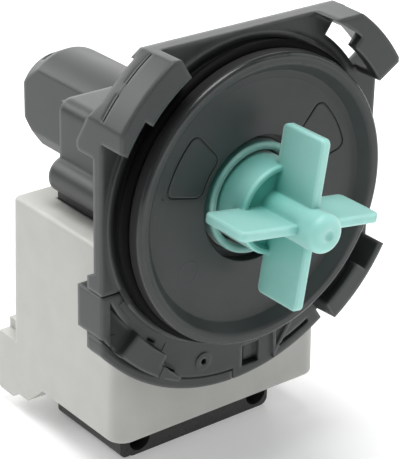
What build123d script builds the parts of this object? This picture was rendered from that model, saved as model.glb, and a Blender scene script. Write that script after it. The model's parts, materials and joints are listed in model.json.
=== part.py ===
"""Drain pump of a dishwasher: bayonet flange, impeller, wet rotor in its can, and laminated stator.

Sizes are in millimetres. X is to the right seen from the front, Y runs back along the rotor and
Z is up. The origin is on the rotor axis, in the plane of the front rim of the spigot.
"""

import math
import os

from build123d import *

# Clearances
SEAT_GAP = 0.05
RUN_GAP = 0.05
PART_GAP = 0.3

# Spigot and chamber disc
SPIGOT_R = 40.0
SPIGOT_WALL = 3.6
RIM_ROUND = 1.0
RIM_W = 3.0
DISH_SLOPE_W = 2.6
FACE_DEPTH = 3.2
FACE_T = 2.4
HUB_BORE_R = 17.4
HUB_WALL = 2.2
HUB_FLOOR = 6.6
PAD_IN_R = 18.6
PAD_OUT_R = 30.7
PAD_ANGLES = ((14.0, 48.7), (131.3, 166.0))
PAD_LINE_W = 0.5
PAD_LINE_DEPTH = 0.45
PAD_ROUND = 2.4

# Sealing ring in its groove
SEAL_D = 3.5
SEAL_PROUD = 1.65
GROOVE_START = 4.2
GROOVE_W = 4.0

# Flange plate
FLANGE_FRONT = 10.0
FLANGE_T = 3.5
FLANGE_LEFT = 44.2
FLANGE_RIGHT = 46.1
FLANGE_TOP = 43.9
FLANGE_R = 56.6
STEP_IN_R = 41.3
STEP_W = 1.7
STEP_H = 0.7
RIM_BAND = 2.6
TOP_LIP_W = 2.0
TOP_LIP_L = 1.2
RIM_GROOVE_W = 0.6
RIM_GROOVE_DEPTH = 0.8
RIM_NOTCH_ANGLE = -90.5
RIM_END_ANGLE = -57.0

# Bayonet hooks
HOOK_FRONT = 1.5
LIP_T = 3.0
WINDOW_IN_R = 45.9
PLATE_IN_R = 45.7
MARK_FRONT = 9.6
MARK_W = 1.2
MARK_DEPTH = 0.3
MARK_ANGLES = ((124.0, 134.5), (138.0, 146.0))

# Each hook: its angles, the end of its lip, its window, the width of its end wall in degrees,
# the radius of its lip, of its wall inside and outside at the front and back, and of the plate there
HOOKS = {
    "upper_right": {
        "angles": (31.2, 62.0), "lip_end": 49.4, "window": (34.4, 53.7), "stop_deg": 3.2,
        "lip_r": 46.4, "inside": (49.6, 51.2), "outside": (54.6, 55.1), "plate_r": 55.1,
    },
    "upper_left": {
        "angles": (121.0, 152.0), "lip_end": 140.5, "window": (122.6, 141.0), "stop_deg": 1.6,
        "lip_r": 45.3, "inside": (48.1, 48.9), "outside": (52.5, 52.7), "plate_r": 52.7,
    },
    "lower_right": {
        "angles": (-56.8, -29.2), "lip_end": -39.0, "window": (-54.1, -39.5), "stop_deg": 2.7,
        "lip_r": 45.6, "inside": (49.8, 50.2), "outside": (51.5, 52.6), "plate_r": 53.0,
    },
}

# Locking tongue at the lower left
TONGUE_ROOT_ANGLE = -121.0
TONGUE_IN_R = 43.6
TONGUE_T = 3.0
TONGUE_TOP_Z = -18.7
ROOT_GAP = 0.3
SLOT_W = 0.5
RAMP_IN_R = 46.3
RAMP_END_IN_R = 47.1
RAMP_ANGLES = (-138.5, -122.9)
RAMP_RISE = 3.1
SCOOP_LEFT = 41.6
SCOOP_L = 8.0
SCOOP_DEPTH = 3.4
VENT_INSET = 2.1
VENT_ANGLES = (-131.0, -127.0)
GRIP_LOW_Z = -30.7
GRIP_W = 6.6
GRIP_BACK = 20.7
TAIL_IN_R = 50.4
TAIL_TIP_IN_R = 52.1
TAIL_END_ANGLE = -113.5
RIM_SKIRT_BACK = 16.7
RIM_SKIRT_ANGLE = -139.0
BRIDGE_BACK = 16.4
BRIDGE_TOP = -12.9
BRIDGE_SLOPE = 1.7
BRIDGE_W = 7.0

# Small openings along the bottom of the flange
POCKET_X = (2.4, 8.3)
POCKET_Z = (-53.8, -47.4)
POCKET_DEPTH = 1.4
POCKET_GROOVE_DEPTH = 2.6
POCKET_GROOVE_X = (3.4, 4.0)
POCKET_GROOVE_Z = (-53.8, -52.9)
V_RIB_H = 0.8
V_RIB_LEFT_X = (12.3, 13.4)
V_RIB_RIGHT_X = (19.2, 21.0)
V_RIB_TOP_Z = -42.4
V_RIB_FORK = (13.9, -50.9)
V_RIB_TIP = (13.1, -54.2)
BOTTOM_SLOT_ANGLES = (-73.5, -61.0)
BOTTOM_SLOT_W = 1.3
PIN_HOLE_X = -11.1
PIN_HOLE_Z = -47.6
PIN_HOLE_R = 0.9
PIN_BOSS_R = 2.6

# Side fin behind the upper left hook
FIN_LOW_Z = 18.6
FIN_HIGH_Z = 33.0
FIN_BACK = 20.6
FIN_W = 7.0
FIN_FLAT = 2.5
FIN_ROUND = 1.2

# Impeller
BLADE_R = 23.1
BLADE_FRONT = -18.9
BLADE_BACK = -3.5
BLADE_T = 2.6
BLADE_COUNT = 4
BLADE_TURN = -8.74
BLADE_CORNER_R = 1.6
BLADE_EDGE_R = 0.5
NOSE_R = 5.3
NOSE_TIP = -24.9
NOSE_DIMPLE_R = 1.6
NOSE_DIMPLE_DEPTH = 0.7
SKIRT_R = 12.3
SKIRT_BACK = 7.6
SKIRT_FRONT = -5.8
SKIRT_WALL = 1.9
DISH_RIM_W = 1.5
DISH_DEPTH = 1.7

# Lost motion coupling between the rotor and the impeller
DOG_DEG = 80.0
STOP_DEG = 68.0
PAD_DEG = 7.0
DOG_R = 9.0
DOG_HUB_R = 4.2
DOG_FRONT = -0.4
DOG_BACK = 6.4
DAMPER_T = 0.9

# Rotor, along Y
SHAFT_R = 2.0
SHAFT_FRONT = -21.5
SHAFT_BACK = 66.0
MAGNET_R = 12.3
MAGNET_BORE_R = 5.2
MAGNET_FRONT = 20.0
MAGNET_L = 33.0
ROTOR_CAP_T = 1.6
WASHER_R = 5.6
WASHER_T = 0.9

# Bearings and their rubber mounts
BEARING_R = 4.6
BEARING_L = 7.0
MOUNT_R = 7.2
MOUNT_L = 6.0

# Bearing carrier behind the impeller
CARRIER_R = 15.35
CARRIER_WALL = 2.15
CARRIER_FRONT = 3.0
CARRIER_FLOOR = 8.9
CARRIER_FLOOR_T = 2.0
CARRIER_PLUG_L = 4.0
CARRIER_PLUG_WALL = 1.6

# Rotor can
CAN_R = 14.4
CAN_WALL = 1.3
CAN_HEAD_FRONT = 57.9
CAN_HEAD_BACK = 95.6
CAN_HEAD_R = 15.65
CAN_HEAD_HALF_W = 11.0
CAN_CHEEK_LOW = -8.4
CAN_BELLY_R = 15.3
CAN_BELLY_HALF_W = 9.3
CAN_BELLY_TOP = -12.1
CAN_CONE_L = 7.2
CAN_CONE_R = 12.2
CAN_TAIL_R = 8.2
CAN_TAIL_BACK = 86.0
CAN_COLLAR_T = 1.2
CAN_COLLAR_HALF_W = 18.2
CAN_COLLAR_TOP = 12.0
CAN_SLOT_ANGLES = (15.0, 69.0, 111.0, 165.0)
CAN_SLOT_W = 3.6
CAN_SLOT_DEPTH = 1.2
CAN_SLOT_L = 2.6

# Pole hood and its screw bosses
HOOD_HALF_W = 26.1
HOOD_TOP = 16.4
HOOD_LOW = -10.4
HOOD_ROUND = 3.6
HOOD_WALL = 1.0
HOOD_BACK = 55.0
BOSS_X = 24.6
BOSS_Z = -5.2
BOSS_R = 5.2
BOSS_PROUD = 0.1
PILOT_R = 1.4
PILOT_L = 16.0

# Laminated core
CORE_HALF_W = 25.2
CORE_FRONT = 25.3
CORE_STACK = 32.3
CORE_LEG_W = 11.2
YOKE_H = 11.1
YOKE_SHOWN = 11.9
POLE_HALF_W = 23.8
POLE_TOP = 14.8
POLE_REACH_X = 9.0
POLE_BORE_R = 14.8
CORE_CORNER_R = 2.4
HOLE_INSET = 4.4
HOLE_UP = 4.6
HOLE_R = 3.5

# Coil housing
HOUSING_TOP = -13.5
HOUSING_H = 55.3
HOUSING_HALF_W = 34.3
HOUSING_FRONT = 16.5
HOUSING_BACK = 66.3
HOUSING_DRAFT_DEG = 1.2
HOUSING_FRONT_R = 3.9
HOUSING_BACK_R = 1.8
HOUSING_EDGE_R = 1.3
HOUSING_LOW_EDGE_R = 0.8
HOUSING_WALL = 1.8
HOUSING_ROOF_T = 2.3

# Coils
BOBBIN_WALL = 0.9
COIL_T = 3.4
BOBBIN_FLANGE_T = 1.2
COIL_GAP = 0.4
COIL_ROUND = 2.5
CUTOUT_W = 8.0
CUTOUT_L = 15.0
CUTOUT_T = 3.4

# Plug socket, its heights measured from the bottom of the housing
SOCKET_RIGHT = -4.0
SOCKET_L = 7.6
SOCKET_RISE = 10.3
SOCKET_CROWN_RISE = 13.5
SOCKET_CROWN_INSET = 2.8
SOCKET_DROP = 8.2
SOCKET_STEP = 2.1
SOCKET_WALL = 1.5
SOCKET_DEPTH = 9.8
SOCKET_HEEL_L = 7.4
SOCKET_STEP_L = 7.6
SOCKET_SLOPE_L = 7.0
SOCKET_SLOPE_UP = 6.3
SOCKET_ROUND = 1.0
TAB_W = 6.3
TAB_T = 0.8
TAB_INSET = 2.0
TAB_PITCH = 12.5

# Values that follow from the ones above
PLATE_BACK = FLANGE_FRONT + FLANGE_T
RIM_GROOVE_R = FLANGE_R - RIM_BAND
TONGUE_OUT_R = RIM_GROOVE_R - SLOT_W
BOSS_BACK = HOOD_BACK + BOSS_PROUD
CORE_BACK = CORE_FRONT + CORE_STACK
HOUSING_LOW = HOUSING_TOP - HOUSING_H
CORE_LOW = HOUSING_LOW - YOKE_SHOWN
HOLE_X = CORE_HALF_W - HOLE_INSET
HOLE_Z = CORE_LOW + HOLE_UP
SOCKET_BACK = HOUSING_BACK + SOCKET_L
SOCKET_TOP = HOUSING_LOW + SOCKET_RISE
SOCKET_LOW = HOUSING_LOW - SOCKET_DROP
SOCKET_STEP_LOW = SOCKET_LOW + SOCKET_STEP
SOCKET_INNER_FRONT = SOCKET_BACK - SOCKET_DEPTH - SOCKET_WALL
SOCKET_HEEL = SOCKET_BACK - SOCKET_HEEL_L
TAB_TIP = SOCKET_BACK - TAB_INSET


def polar(radius, degrees):
    """Point at a radius and an angle from +X towards +Z."""
    return (radius * math.cos(math.radians(degrees)), radius * math.sin(math.radians(degrees)))


def band(inner, outer, start, end):
    """Flat ring piece between two angles, with an inner and an outer radius at each of them."""
    middle = (start + end) / 2
    far_r = (outer[0] + outer[1]) / 2
    near_r = (inner[0] + inner[1]) / 2
    far = ThreePointArc(polar(outer[0], start), polar(far_r, middle), polar(outer[1], end))
    near = ThreePointArc(polar(inner[1], end), polar(near_r, middle), polar(inner[0], start))
    return make_face([far, Line(far @ 1, near @ 0), near, Line(near @ 1, far @ 0)])


def sector(inner, outer, start, end):
    """Flat piece of a ring between two radii and two angles."""
    return band((inner, inner), (outer, outer), start, end)


def wedge(outer, start, end):
    """Flat piece of a disc between two angles."""
    arc = ThreePointArc(polar(outer, start), polar(outer, (start + end) / 2), polar(outer, end))
    return make_face([arc, Line(arc @ 1, (0, 0)), Line((0, 0), arc @ 0)])


def block(x0, x1, y0, y1, z0, z1):
    """Plain box between two corners."""
    centre = ((x0 + x1) / 2, (y0 + y1) / 2, (z0 + z1) / 2)
    return Pos(*centre) * Box(x1 - x0, y1 - y0, z1 - z0)


def front_area(x0, x1, z0, z1):
    """Flat rectangle seen from the front."""
    return Pos((x0 + x1) / 2, (z0 + z1) / 2) * Rectangle(x1 - x0, z1 - z0)


def slab(area, y0, y1):
    """Extrude a shape drawn in X and Z from one Y to another."""
    return extrude(Plane.XZ.offset(-y0) * area, amount=y1 - y0, dir=(0, 1, 0))


def turned(points):
    """Revolve a closed outline of (radius, y) points about the rotor axis."""
    return revolve(make_face(Polyline(*points, close=True)), Axis.Y)


def swept(points, start, end):
    """Turn a closed outline of (radius, y) points from one angle to another."""
    piece = revolve(make_face(Polyline(*points, close=True)), Axis.Y, end - start)
    return Rot(0, -end, 0) * piece


def tube(outer, inner, y0, y1):
    """Round tube along the rotor axis."""
    return turned([(inner, y0), (outer, y0), (outer, y1), (inner, y1)])


def rod(radius, y0, y1, x=0.0, z=0.0):
    """Round bar along Y."""
    return slab(Pos(x, z) * Circle(radius), y0, y1)


def fillet_where(part, radius, keep):
    """Round the edges that a test picks."""
    picked = [edge for edge in part.edges() if keep(edge)]
    return fillet(picked, radius) if picked else part


# Spigot side


def pad_line(start, end):
    """Fine line round one sector pad on the disc face."""
    width = PAD_LINE_W
    turn = math.degrees(width / (PAD_IN_R + PAD_OUT_R) * 2)
    outside = fillet(sector(PAD_IN_R, PAD_OUT_R, start, end).vertices(), PAD_ROUND)
    inner_area = sector(PAD_IN_R + width, PAD_OUT_R - width, start + turn, end - turn)
    inside = fillet(inner_area.vertices(), PAD_ROUND - width)
    return slab(outside - inside, FACE_DEPTH - PAD_LINE_DEPTH, FACE_DEPTH + PAD_LINE_DEPTH)


def chamber_disc():
    """Dished disc with its spigot wall, seal groove and hub neck."""
    back = FLANGE_FRONT
    groove_r = SPIGOT_R + SEAL_PROUD - SEAL_D - SEAT_GAP
    dish_top = SPIGOT_R - RIM_W
    neck_r = HUB_BORE_R + HUB_WALL
    seat_r = CARRIER_R + SEAT_GAP
    body = turned([
        (SPIGOT_R, back),
        (SPIGOT_R, GROOVE_START + GROOVE_W),
        (groove_r, GROOVE_START + GROOVE_W),
        (groove_r, GROOVE_START),
        (SPIGOT_R, GROOVE_START),
        (SPIGOT_R, 0),
        (dish_top, 0),
        (dish_top - DISH_SLOPE_W, FACE_DEPTH),
        (HUB_BORE_R, FACE_DEPTH),
        (HUB_BORE_R, HUB_FLOOR),
        (seat_r, HUB_FLOOR),
        (seat_r, back),
        (neck_r, back),
        (neck_r, FACE_DEPTH + FACE_T),
        (SPIGOT_R - SPIGOT_WALL, FACE_DEPTH + FACE_T),
        (SPIGOT_R - SPIGOT_WALL, back),
    ])
    front = [e for e in body.edges() if abs(e.center().Y) < 0.01]
    body = fillet(front, RIM_ROUND)
    for start, end in PAD_ANGLES:
        body -= pad_line(start, end)
    return body


def seal_ring():
    """Round rubber ring in the spigot groove."""
    major = SPIGOT_R + SEAL_PROUD - SEAL_D / 2
    section = Pos(major, GROOVE_START + GROOVE_W / 2) * Circle(SEAL_D / 2)
    return revolve(section, Axis.Y)


# Flange


def flange_outline():
    """Plate outline: straight left, top and right sides, round corners and a round bottom."""
    left_of_bottom = -180 + math.degrees(math.acos(FLANGE_LEFT / FLANGE_R))
    turns = [
        (left_of_bottom - 1.0, RIM_END_ANGLE, FLANGE_R),
        (RIM_END_ANGLE, 0, HOOKS["lower_right"]["plate_r"]),
        (0, 90, HOOKS["upper_right"]["plate_r"]),
        (90, 180, HOOKS["upper_left"]["plate_r"]),
        (-180, left_of_bottom, FLANGE_R),
    ]
    outline = Circle(PLATE_IN_R)
    for start, end, radius in turns:
        outline += wedge(radius, start, end)
    return outline & front_area(-FLANGE_LEFT, FLANGE_RIGHT, -FLANGE_R, FLANGE_TOP)


def tongue_area(grow=0.0, root_gap=0.0):
    """Outline of the locking tongue, grown by a gap for its cut-out."""
    left = -FLANGE_LEFT - grow
    last = TONGUE_ROOT_ANGLE + math.degrees(root_gap / TONGUE_IN_R)
    arm = sector(TONGUE_IN_R - grow, TONGUE_OUT_R + grow, -175, last)
    arm &= front_area(left, 0, -FLANGE_R, TONGUE_TOP_Z + grow)
    grip = front_area(left, -FLANGE_LEFT + GRIP_W + grow, GRIP_LOW_Z - grow, TONGUE_TOP_Z + grow)
    return arm + grip


def hook(name):
    """One bayonet hook: drafted wall, turned-in lip, foot, and the end wall that stops the sump's tab."""
    data = HOOKS[name]
    start, end = data["angles"]
    inner, inner_back = data["inside"]
    outer, outer_back = data["outside"]
    lip_r = data["lip_r"]
    bite = (outer - inner) / 2
    lip_back = HOOK_FRONT + LIP_T
    wall = [(inner, HOOK_FRONT), (outer, HOOK_FRONT), (outer_back, PLATE_BACK), (inner_back, PLATE_BACK)]
    body = swept(wall, start, end)
    lip = [(lip_r, HOOK_FRONT), (inner + bite, HOOK_FRONT), (inner + bite, lip_back), (lip_r, lip_back)]
    body += swept(lip, start, data["lip_end"])
    stop = [(lip_r, HOOK_FRONT), (inner + bite, HOOK_FRONT), (inner_back + bite, PLATE_BACK), (lip_r, PLATE_BACK)]
    body += swept(stop, start, start + data["stop_deg"])
    foot = [(inner, HOOK_FRONT), (inner + bite, HOOK_FRONT), (inner_back + bite, PLATE_BACK), (inner, PLATE_BACK)]
    body += swept(foot, data["window"][1], end)
    limits = block(-FLANGE_LEFT, FLANGE_RIGHT, HOOK_FRONT - 1, PLATE_BACK, -FLANGE_R, FLANGE_TOP)
    return body & limits


def hook_window(name):
    """Opening in the plate under a lip, so that the lip can be moulded."""
    data = HOOKS[name]
    bite = (data["outside"][0] - data["inside"][0]) / 2
    area = sector(WINDOW_IN_R, data["inside"][1] + bite, *data["window"])
    return slab(area, FLANGE_FRONT - 1, PLATE_BACK + 1)


def hook_marks():
    """Shallow grooves along the outside of the upper left hook."""
    radius = HOOKS["upper_left"]["outside"][0]
    area = sector(radius - MARK_DEPTH, radius + 2, *MARK_ANGLES[0])
    area += sector(radius - MARK_DEPTH, radius + 2, *MARK_ANGLES[1])
    return slab(area, MARK_FRONT, MARK_FRONT + MARK_W)


def rim_cuts():
    """Slot, groove and notch that set the lower rim apart."""
    back = PLATE_BACK + 1
    width = RIM_GROOVE_W
    groove = sector(RIM_GROOVE_R - width, RIM_GROOVE_R, TAIL_END_ANGLE, RIM_NOTCH_ANGLE)
    cuts = slab(groove, FLANGE_FRONT - 1, FLANGE_FRONT + RIM_GROOVE_DEPTH)
    notch = sector(RIM_GROOVE_R, FLANGE_R + 1, RIM_NOTCH_ANGLE - width, RIM_NOTCH_ANGLE)
    cuts += slab(notch, FLANGE_FRONT - 1, back)
    slot = sector(RIM_GROOVE_R - BOTTOM_SLOT_W, RIM_GROOVE_R, *BOTTOM_SLOT_ANGLES)
    cuts += slab(slot, FLANGE_FRONT - 1, back)
    pocket = front_area(*POCKET_X, *POCKET_Z)
    cuts += slab(pocket, FLANGE_FRONT - 1, FLANGE_FRONT + POCKET_DEPTH)
    groove = front_area(*POCKET_GROOVE_X, *POCKET_Z) + front_area(*POCKET_X, *POCKET_GROOVE_Z)
    return cuts + slab(groove, FLANGE_FRONT - 1, FLANGE_FRONT + POCKET_GROOVE_DEPTH)


def v_rib():
    """Two thin ribs that meet in a point on the lower rim."""
    outline = Polyline(
        (V_RIB_LEFT_X[0], V_RIB_TOP_Z),
        V_RIB_TIP,
        (V_RIB_RIGHT_X[1], V_RIB_TOP_Z),
        (V_RIB_RIGHT_X[0], V_RIB_TOP_Z),
        V_RIB_FORK,
        (V_RIB_LEFT_X[1], V_RIB_TOP_Z),
        close=True,
    )
    return slab(make_face(outline), FLANGE_FRONT - V_RIB_H, FLANGE_FRONT + 1)


def top_lip():
    """Lip that stiffens the plate's upper edge at its back."""
    strip = front_area(-FLANGE_LEFT, FLANGE_RIGHT, FLANGE_TOP - TOP_LIP_W, FLANGE_TOP)
    return slab(flange_outline() & strip, PLATE_BACK - 1, PLATE_BACK + TOP_LIP_L)


def side_fin():
    """Triangular fin that stiffens the plate behind the upper left hook."""
    root = PLATE_BACK - 1
    outline = make_face(Polyline(
        (root, FIN_LOW_Z),
        (FIN_BACK, FIN_LOW_Z),
        (FIN_BACK, FIN_LOW_Z + FIN_FLAT),
        (PLATE_BACK, FIN_HIGH_Z),
        (root, FIN_HIGH_Z),
        close=True,
    ))
    outer = [v for v in outline.vertices() if v.X > FIN_BACK - 0.01]
    area = Plane.YZ.offset(-FLANGE_LEFT) * fillet(outer, FIN_ROUND)
    fin = extrude(area, amount=FIN_W)
    corner = wedge(HOOKS["upper_left"]["plate_r"], 90, 180)
    return fin & slab(corner, root, FIN_BACK)


def latch_bridge():
    """Thick bridge that carries the plate's edge over the tongue's slot."""
    root = PLATE_BACK - 1
    low = TONGUE_TOP_Z + SLOT_W
    outline = Polyline(
        (root, low),
        (BRIDGE_BACK, low),
        (BRIDGE_BACK, BRIDGE_TOP - BRIDGE_SLOPE),
        (PLATE_BACK, BRIDGE_TOP),
        (root, BRIDGE_TOP),
        close=True,
    )
    return extrude(Plane.YZ.offset(-FLANGE_LEFT) * make_face(outline), amount=BRIDGE_W)


def rim_tail(shift=0.0, width=0.0):
    """Outline of the raised tail that goes on from the ramp, or of the slot inside it."""
    start = TONGUE_ROOT_ANGLE
    inner = (TAIL_IN_R - shift, TAIL_TIP_IN_R - shift)
    outer = (inner[0] + width, inner[1] + width) if width else (TONGUE_OUT_R, TONGUE_OUT_R)
    return band(inner, outer, start, TAIL_END_ANGLE)


def mounting_flange():
    """Flange plate with three bayonet hooks, lower rim, stiffening fin and small openings."""
    front = FLANGE_FRONT - RAMP_RISE
    body = slab(flange_outline(), FLANGE_FRONT, PLATE_BACK)
    ring = tube(STEP_IN_R + STEP_W, STEP_IN_R, FLANGE_FRONT - STEP_H, FLANGE_FRONT + 1)
    body += ring & slab(flange_outline(), FLANGE_FRONT - STEP_H, PLATE_BACK)
    skirt = sector(TONGUE_OUT_R + SLOT_W, FLANGE_R, -150, RIM_SKIRT_ANGLE)
    skirt &= front_area(-FLANGE_LEFT, 0, -FLANGE_R, GRIP_LOW_Z)
    body += slab(skirt, PLATE_BACK - 1, RIM_SKIRT_BACK)
    body += rod(PIN_BOSS_R, FLANGE_FRONT - 0.3, FLANGE_FRONT + 1, PIN_HOLE_X, PIN_HOLE_Z)
    for name in HOOKS:
        body -= hook_window(name)
    for name in HOOKS:
        body += hook(name)
    body += side_fin() + latch_bridge() + v_rib() + top_lip()
    body += slab(rim_tail(), front, FLANGE_FRONT + 1)
    body -= slab(rim_tail(SLOT_W, SLOT_W), FLANGE_FRONT - 1, PLATE_BACK + 1)
    body -= rim_cuts() + hook_marks()
    body -= rod(PIN_HOLE_R, FLANGE_FRONT - 1, PLATE_BACK + 1, PIN_HOLE_X, PIN_HOLE_Z)
    body -= slab(tongue_area(SLOT_W, ROOT_GAP), front - 1, GRIP_BACK + 1)
    return body - rod(CAN_R + PART_GAP, FLANGE_FRONT - 2, PLATE_BACK + 1)


def scoop():
    """Hollow between grip and ramp, deep at the grip and rising to the ramp."""
    start = RAMP_ANGLES[0]
    area = sector(RAMP_IN_R, FLANGE_R, start - 20, start) & front_area(-SCOOP_LEFT, 0, -FLANGE_R, 0)
    hollow = slab(area, FLANGE_FRONT - RAMP_RISE - 1, FLANGE_FRONT + SCOOP_DEPTH)
    x, z = polar(RAMP_IN_R, start)
    along = (math.sin(math.radians(start)), 0, -math.cos(math.radians(start)))
    outward = (math.cos(math.radians(start)), 0, math.sin(math.radians(start)))
    side = Plane(origin=(x, FLANGE_FRONT, z), x_dir=along, z_dir=outward)
    high = -RAMP_RISE - 2
    wedge_area = make_face(Polyline(
        (0, high),
        (0, 0),
        (SCOOP_L, SCOOP_DEPTH),
        (2 * SCOOP_L, SCOOP_DEPTH),
        (2 * SCOOP_L, high),
        close=True,
    ))
    return hollow & extrude(side * wedge_area, amount=FLANGE_R / 4, both=True)


def locking_tongue():
    """Springy tongue with a ramp that drops behind the sump's tab, and a grip to release it."""
    front = FLANGE_FRONT - RAMP_RISE
    body = slab(tongue_area(), FLANGE_FRONT, FLANGE_FRONT + TONGUE_T)
    grip = front_area(-FLANGE_LEFT, -FLANGE_LEFT + GRIP_W, GRIP_LOW_Z, TONGUE_TOP_Z)
    body += slab(grip, FLANGE_FRONT, GRIP_BACK)
    outer = (TONGUE_OUT_R, TONGUE_OUT_R)
    ramp = band((RAMP_IN_R, RAMP_END_IN_R), outer, *RAMP_ANGLES)
    ramp += sector(TAIL_IN_R, TONGUE_OUT_R, RAMP_ANGLES[1] - 1, TONGUE_ROOT_ANGLE)
    body += slab(ramp, front, FLANGE_FRONT + 1)
    vent_r = TONGUE_IN_R + VENT_INSET
    vent = sector(vent_r - SLOT_W / 2, vent_r + SLOT_W / 2, *VENT_ANGLES)
    body -= slab(vent, front - 1, PLATE_BACK)
    return body - scoop()


# Impeller and rotor


def blade():
    """One flat blade with rounded outer corners and a slim rounded edge."""
    outline = front_area(0, BLADE_R, BLADE_FRONT, BLADE_BACK)
    corners = outline.vertices().sort_by(Axis.X)[-2:]
    outline = fillet(corners, BLADE_CORNER_R)
    plate = extrude(Plane.XY * outline, amount=BLADE_T / 2, both=True)
    rim = [e for e in plate.edges() if abs(e.center().Z) > BLADE_T / 2 - 0.01 and e.center().X > 1]
    return fillet(rim, BLADE_EDGE_R)


def impeller_core():
    """Nose, dished face and skirt of the impeller, with the coupling room inside."""
    room_r = SKIRT_R - SKIRT_WALL
    room_front = DOG_FRONT - PART_GAP
    body = turned([
        (0, NOSE_TIP),
        (NOSE_R, NOSE_TIP),
        (NOSE_R, SKIRT_FRONT + DISH_DEPTH),
        (SKIRT_R - DISH_RIM_W - 0.5 * DISH_DEPTH, SKIRT_FRONT + DISH_DEPTH),
        (SKIRT_R - DISH_RIM_W, SKIRT_FRONT),
        (SKIRT_R, SKIRT_FRONT),
        (SKIRT_R, SKIRT_BACK),
        (0, SKIRT_BACK),
    ])
    tip = [e for e in body.edges() if abs(e.center().Y - NOSE_TIP) < 0.01]
    body = fillet(tip, NOSE_R * 0.45)
    rim = [e for e in body.edges() if abs(e.center().Y - SKIRT_FRONT) < 0.01 and e.length > 6 * SKIRT_R]
    body = fillet(rim, DISH_RIM_W * 0.5)
    ball_r = (NOSE_DIMPLE_R ** 2 + NOSE_DIMPLE_DEPTH ** 2) / (2 * NOSE_DIMPLE_DEPTH)
    body -= Pos(0, NOSE_TIP + NOSE_DIMPLE_DEPTH - ball_r, 0) * Sphere(ball_r)
    body -= rod(room_r, room_front, SKIRT_BACK + 1)
    stop = sector(DOG_HUB_R + PART_GAP, room_r + 0.5, -STOP_DEG / 2, STOP_DEG / 2)
    body += slab(stop, room_front - 0.5, DOG_BACK - PART_GAP)
    return body - rod(SHAFT_R + RUN_GAP, SHAFT_FRONT - PART_GAP, SKIRT_BACK + 1)


def impeller():
    """Four blades round a nose and a flared skirt, moulded in one."""
    body = impeller_core()
    core = rod(NOSE_R - 1, BLADE_FRONT - 1, DOG_FRONT)
    for index in range(BLADE_COUNT):
        turn = BLADE_TURN + index * 360 / BLADE_COUNT
        body += Rot(0, -turn, 0) * blade() - core
    return body


def coupling_driver():
    """Hub on the shaft with one wide dog that drives the impeller after its free turn."""
    body = tube(DOG_HUB_R, SHAFT_R + 0.01, DOG_FRONT, DOG_BACK + 1.2)
    dog = sector(DOG_HUB_R - 0.5, DOG_R, 180 - DOG_DEG / 2, 180 + DOG_DEG / 2)
    return body + slab(dog, DOG_FRONT + 0.2, DOG_BACK)


def coupling_damper():
    """Rubber cap over the dog that softens the knock."""
    half = DOG_DEG / 2
    outer = sector(DOG_HUB_R + 0.05, DOG_R + DAMPER_T, 180 - half - PAD_DEG, 180 + half + PAD_DEG)
    inner = sector(DOG_HUB_R - 1, DOG_R + 0.02, 180 - half - 0.2, 180 + half + 0.2)
    return slab(outer - inner, DOG_FRONT + 0.2, DOG_BACK)


def rotor_shaft():
    """Ground steel shaft with chamfered ends."""
    body = rod(SHAFT_R, SHAFT_FRONT, SHAFT_BACK)
    return chamfer(body.edges().filter_by(GeomType.CIRCLE), 0.3)


def rotor_magnet():
    """Ferrite ring magnet."""
    return tube(MAGNET_R, MAGNET_BORE_R, MAGNET_FRONT, MAGNET_FRONT + MAGNET_L)


def rotor_core():
    """Moulded core that holds the magnet on the shaft, with a cap at each end."""
    front = MAGNET_FRONT
    back = MAGNET_FRONT + MAGNET_L
    bore = SHAFT_R + 0.01
    inside = MAGNET_BORE_R - SEAT_GAP
    cap_r = MAGNET_R - 0.8
    gap = 0.02
    return turned([
        (bore, front - ROTOR_CAP_T),
        (cap_r, front - ROTOR_CAP_T),
        (cap_r, front - gap),
        (inside, front - gap),
        (inside, back + gap),
        (cap_r, back + gap),
        (cap_r, back + ROTOR_CAP_T),
        (bore, back + ROTOR_CAP_T),
    ])


def thrust_washer(front):
    """Flat washer between the rotor and a bearing."""
    return tube(WASHER_R, SHAFT_R + 0.02, front, front + WASHER_T)


def bearing(front):
    """Sintered bush that the shaft runs in."""
    body = tube(BEARING_R, SHAFT_R + RUN_GAP, front, front + BEARING_L)
    outer = [e for e in body.edges().filter_by(GeomType.CIRCLE) if e.radius > BEARING_R - 0.1]
    return chamfer(outer, 0.4)


def bearing_mount(front, outer):
    """Rubber ring that holds a bearing."""
    return tube(outer, BEARING_R + SEAT_GAP, front, front + MOUNT_L)


def bearing_carrier():
    """Carrier behind the impeller: open ring, floor and the seat of the front bearing."""
    plug_r = CAN_R - CAN_WALL - SEAT_GAP
    plug_in = plug_r - CARRIER_PLUG_WALL
    floor_back = CARRIER_FLOOR + CARRIER_FLOOR_T
    plug_back = floor_back + CARRIER_PLUG_L
    hub_r = MOUNT_R + SEAT_GAP
    hub_out = hub_r + CARRIER_PLUG_WALL
    lap = FLANGE_FRONT - 2 * SEAT_GAP
    body = turned([
        (hub_r, CARRIER_FLOOR),
        (CARRIER_R - CARRIER_WALL, CARRIER_FLOOR),
        (CARRIER_R - CARRIER_WALL, CARRIER_FRONT),
        (CARRIER_R, CARRIER_FRONT),
        (CARRIER_R, lap),
        (plug_r, lap),
        (plug_r, plug_back),
        (plug_in, plug_back),
        (plug_in, floor_back),
        (hub_out, floor_back),
        (hub_out, plug_back),
        (hub_r, plug_back),
    ])
    front = [e for e in body.edges() if abs(e.center().Y - CARRIER_FRONT) < 0.01]
    return fillet(front, CARRIER_WALL * 0.4)


# Can, hood and stator


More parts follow.
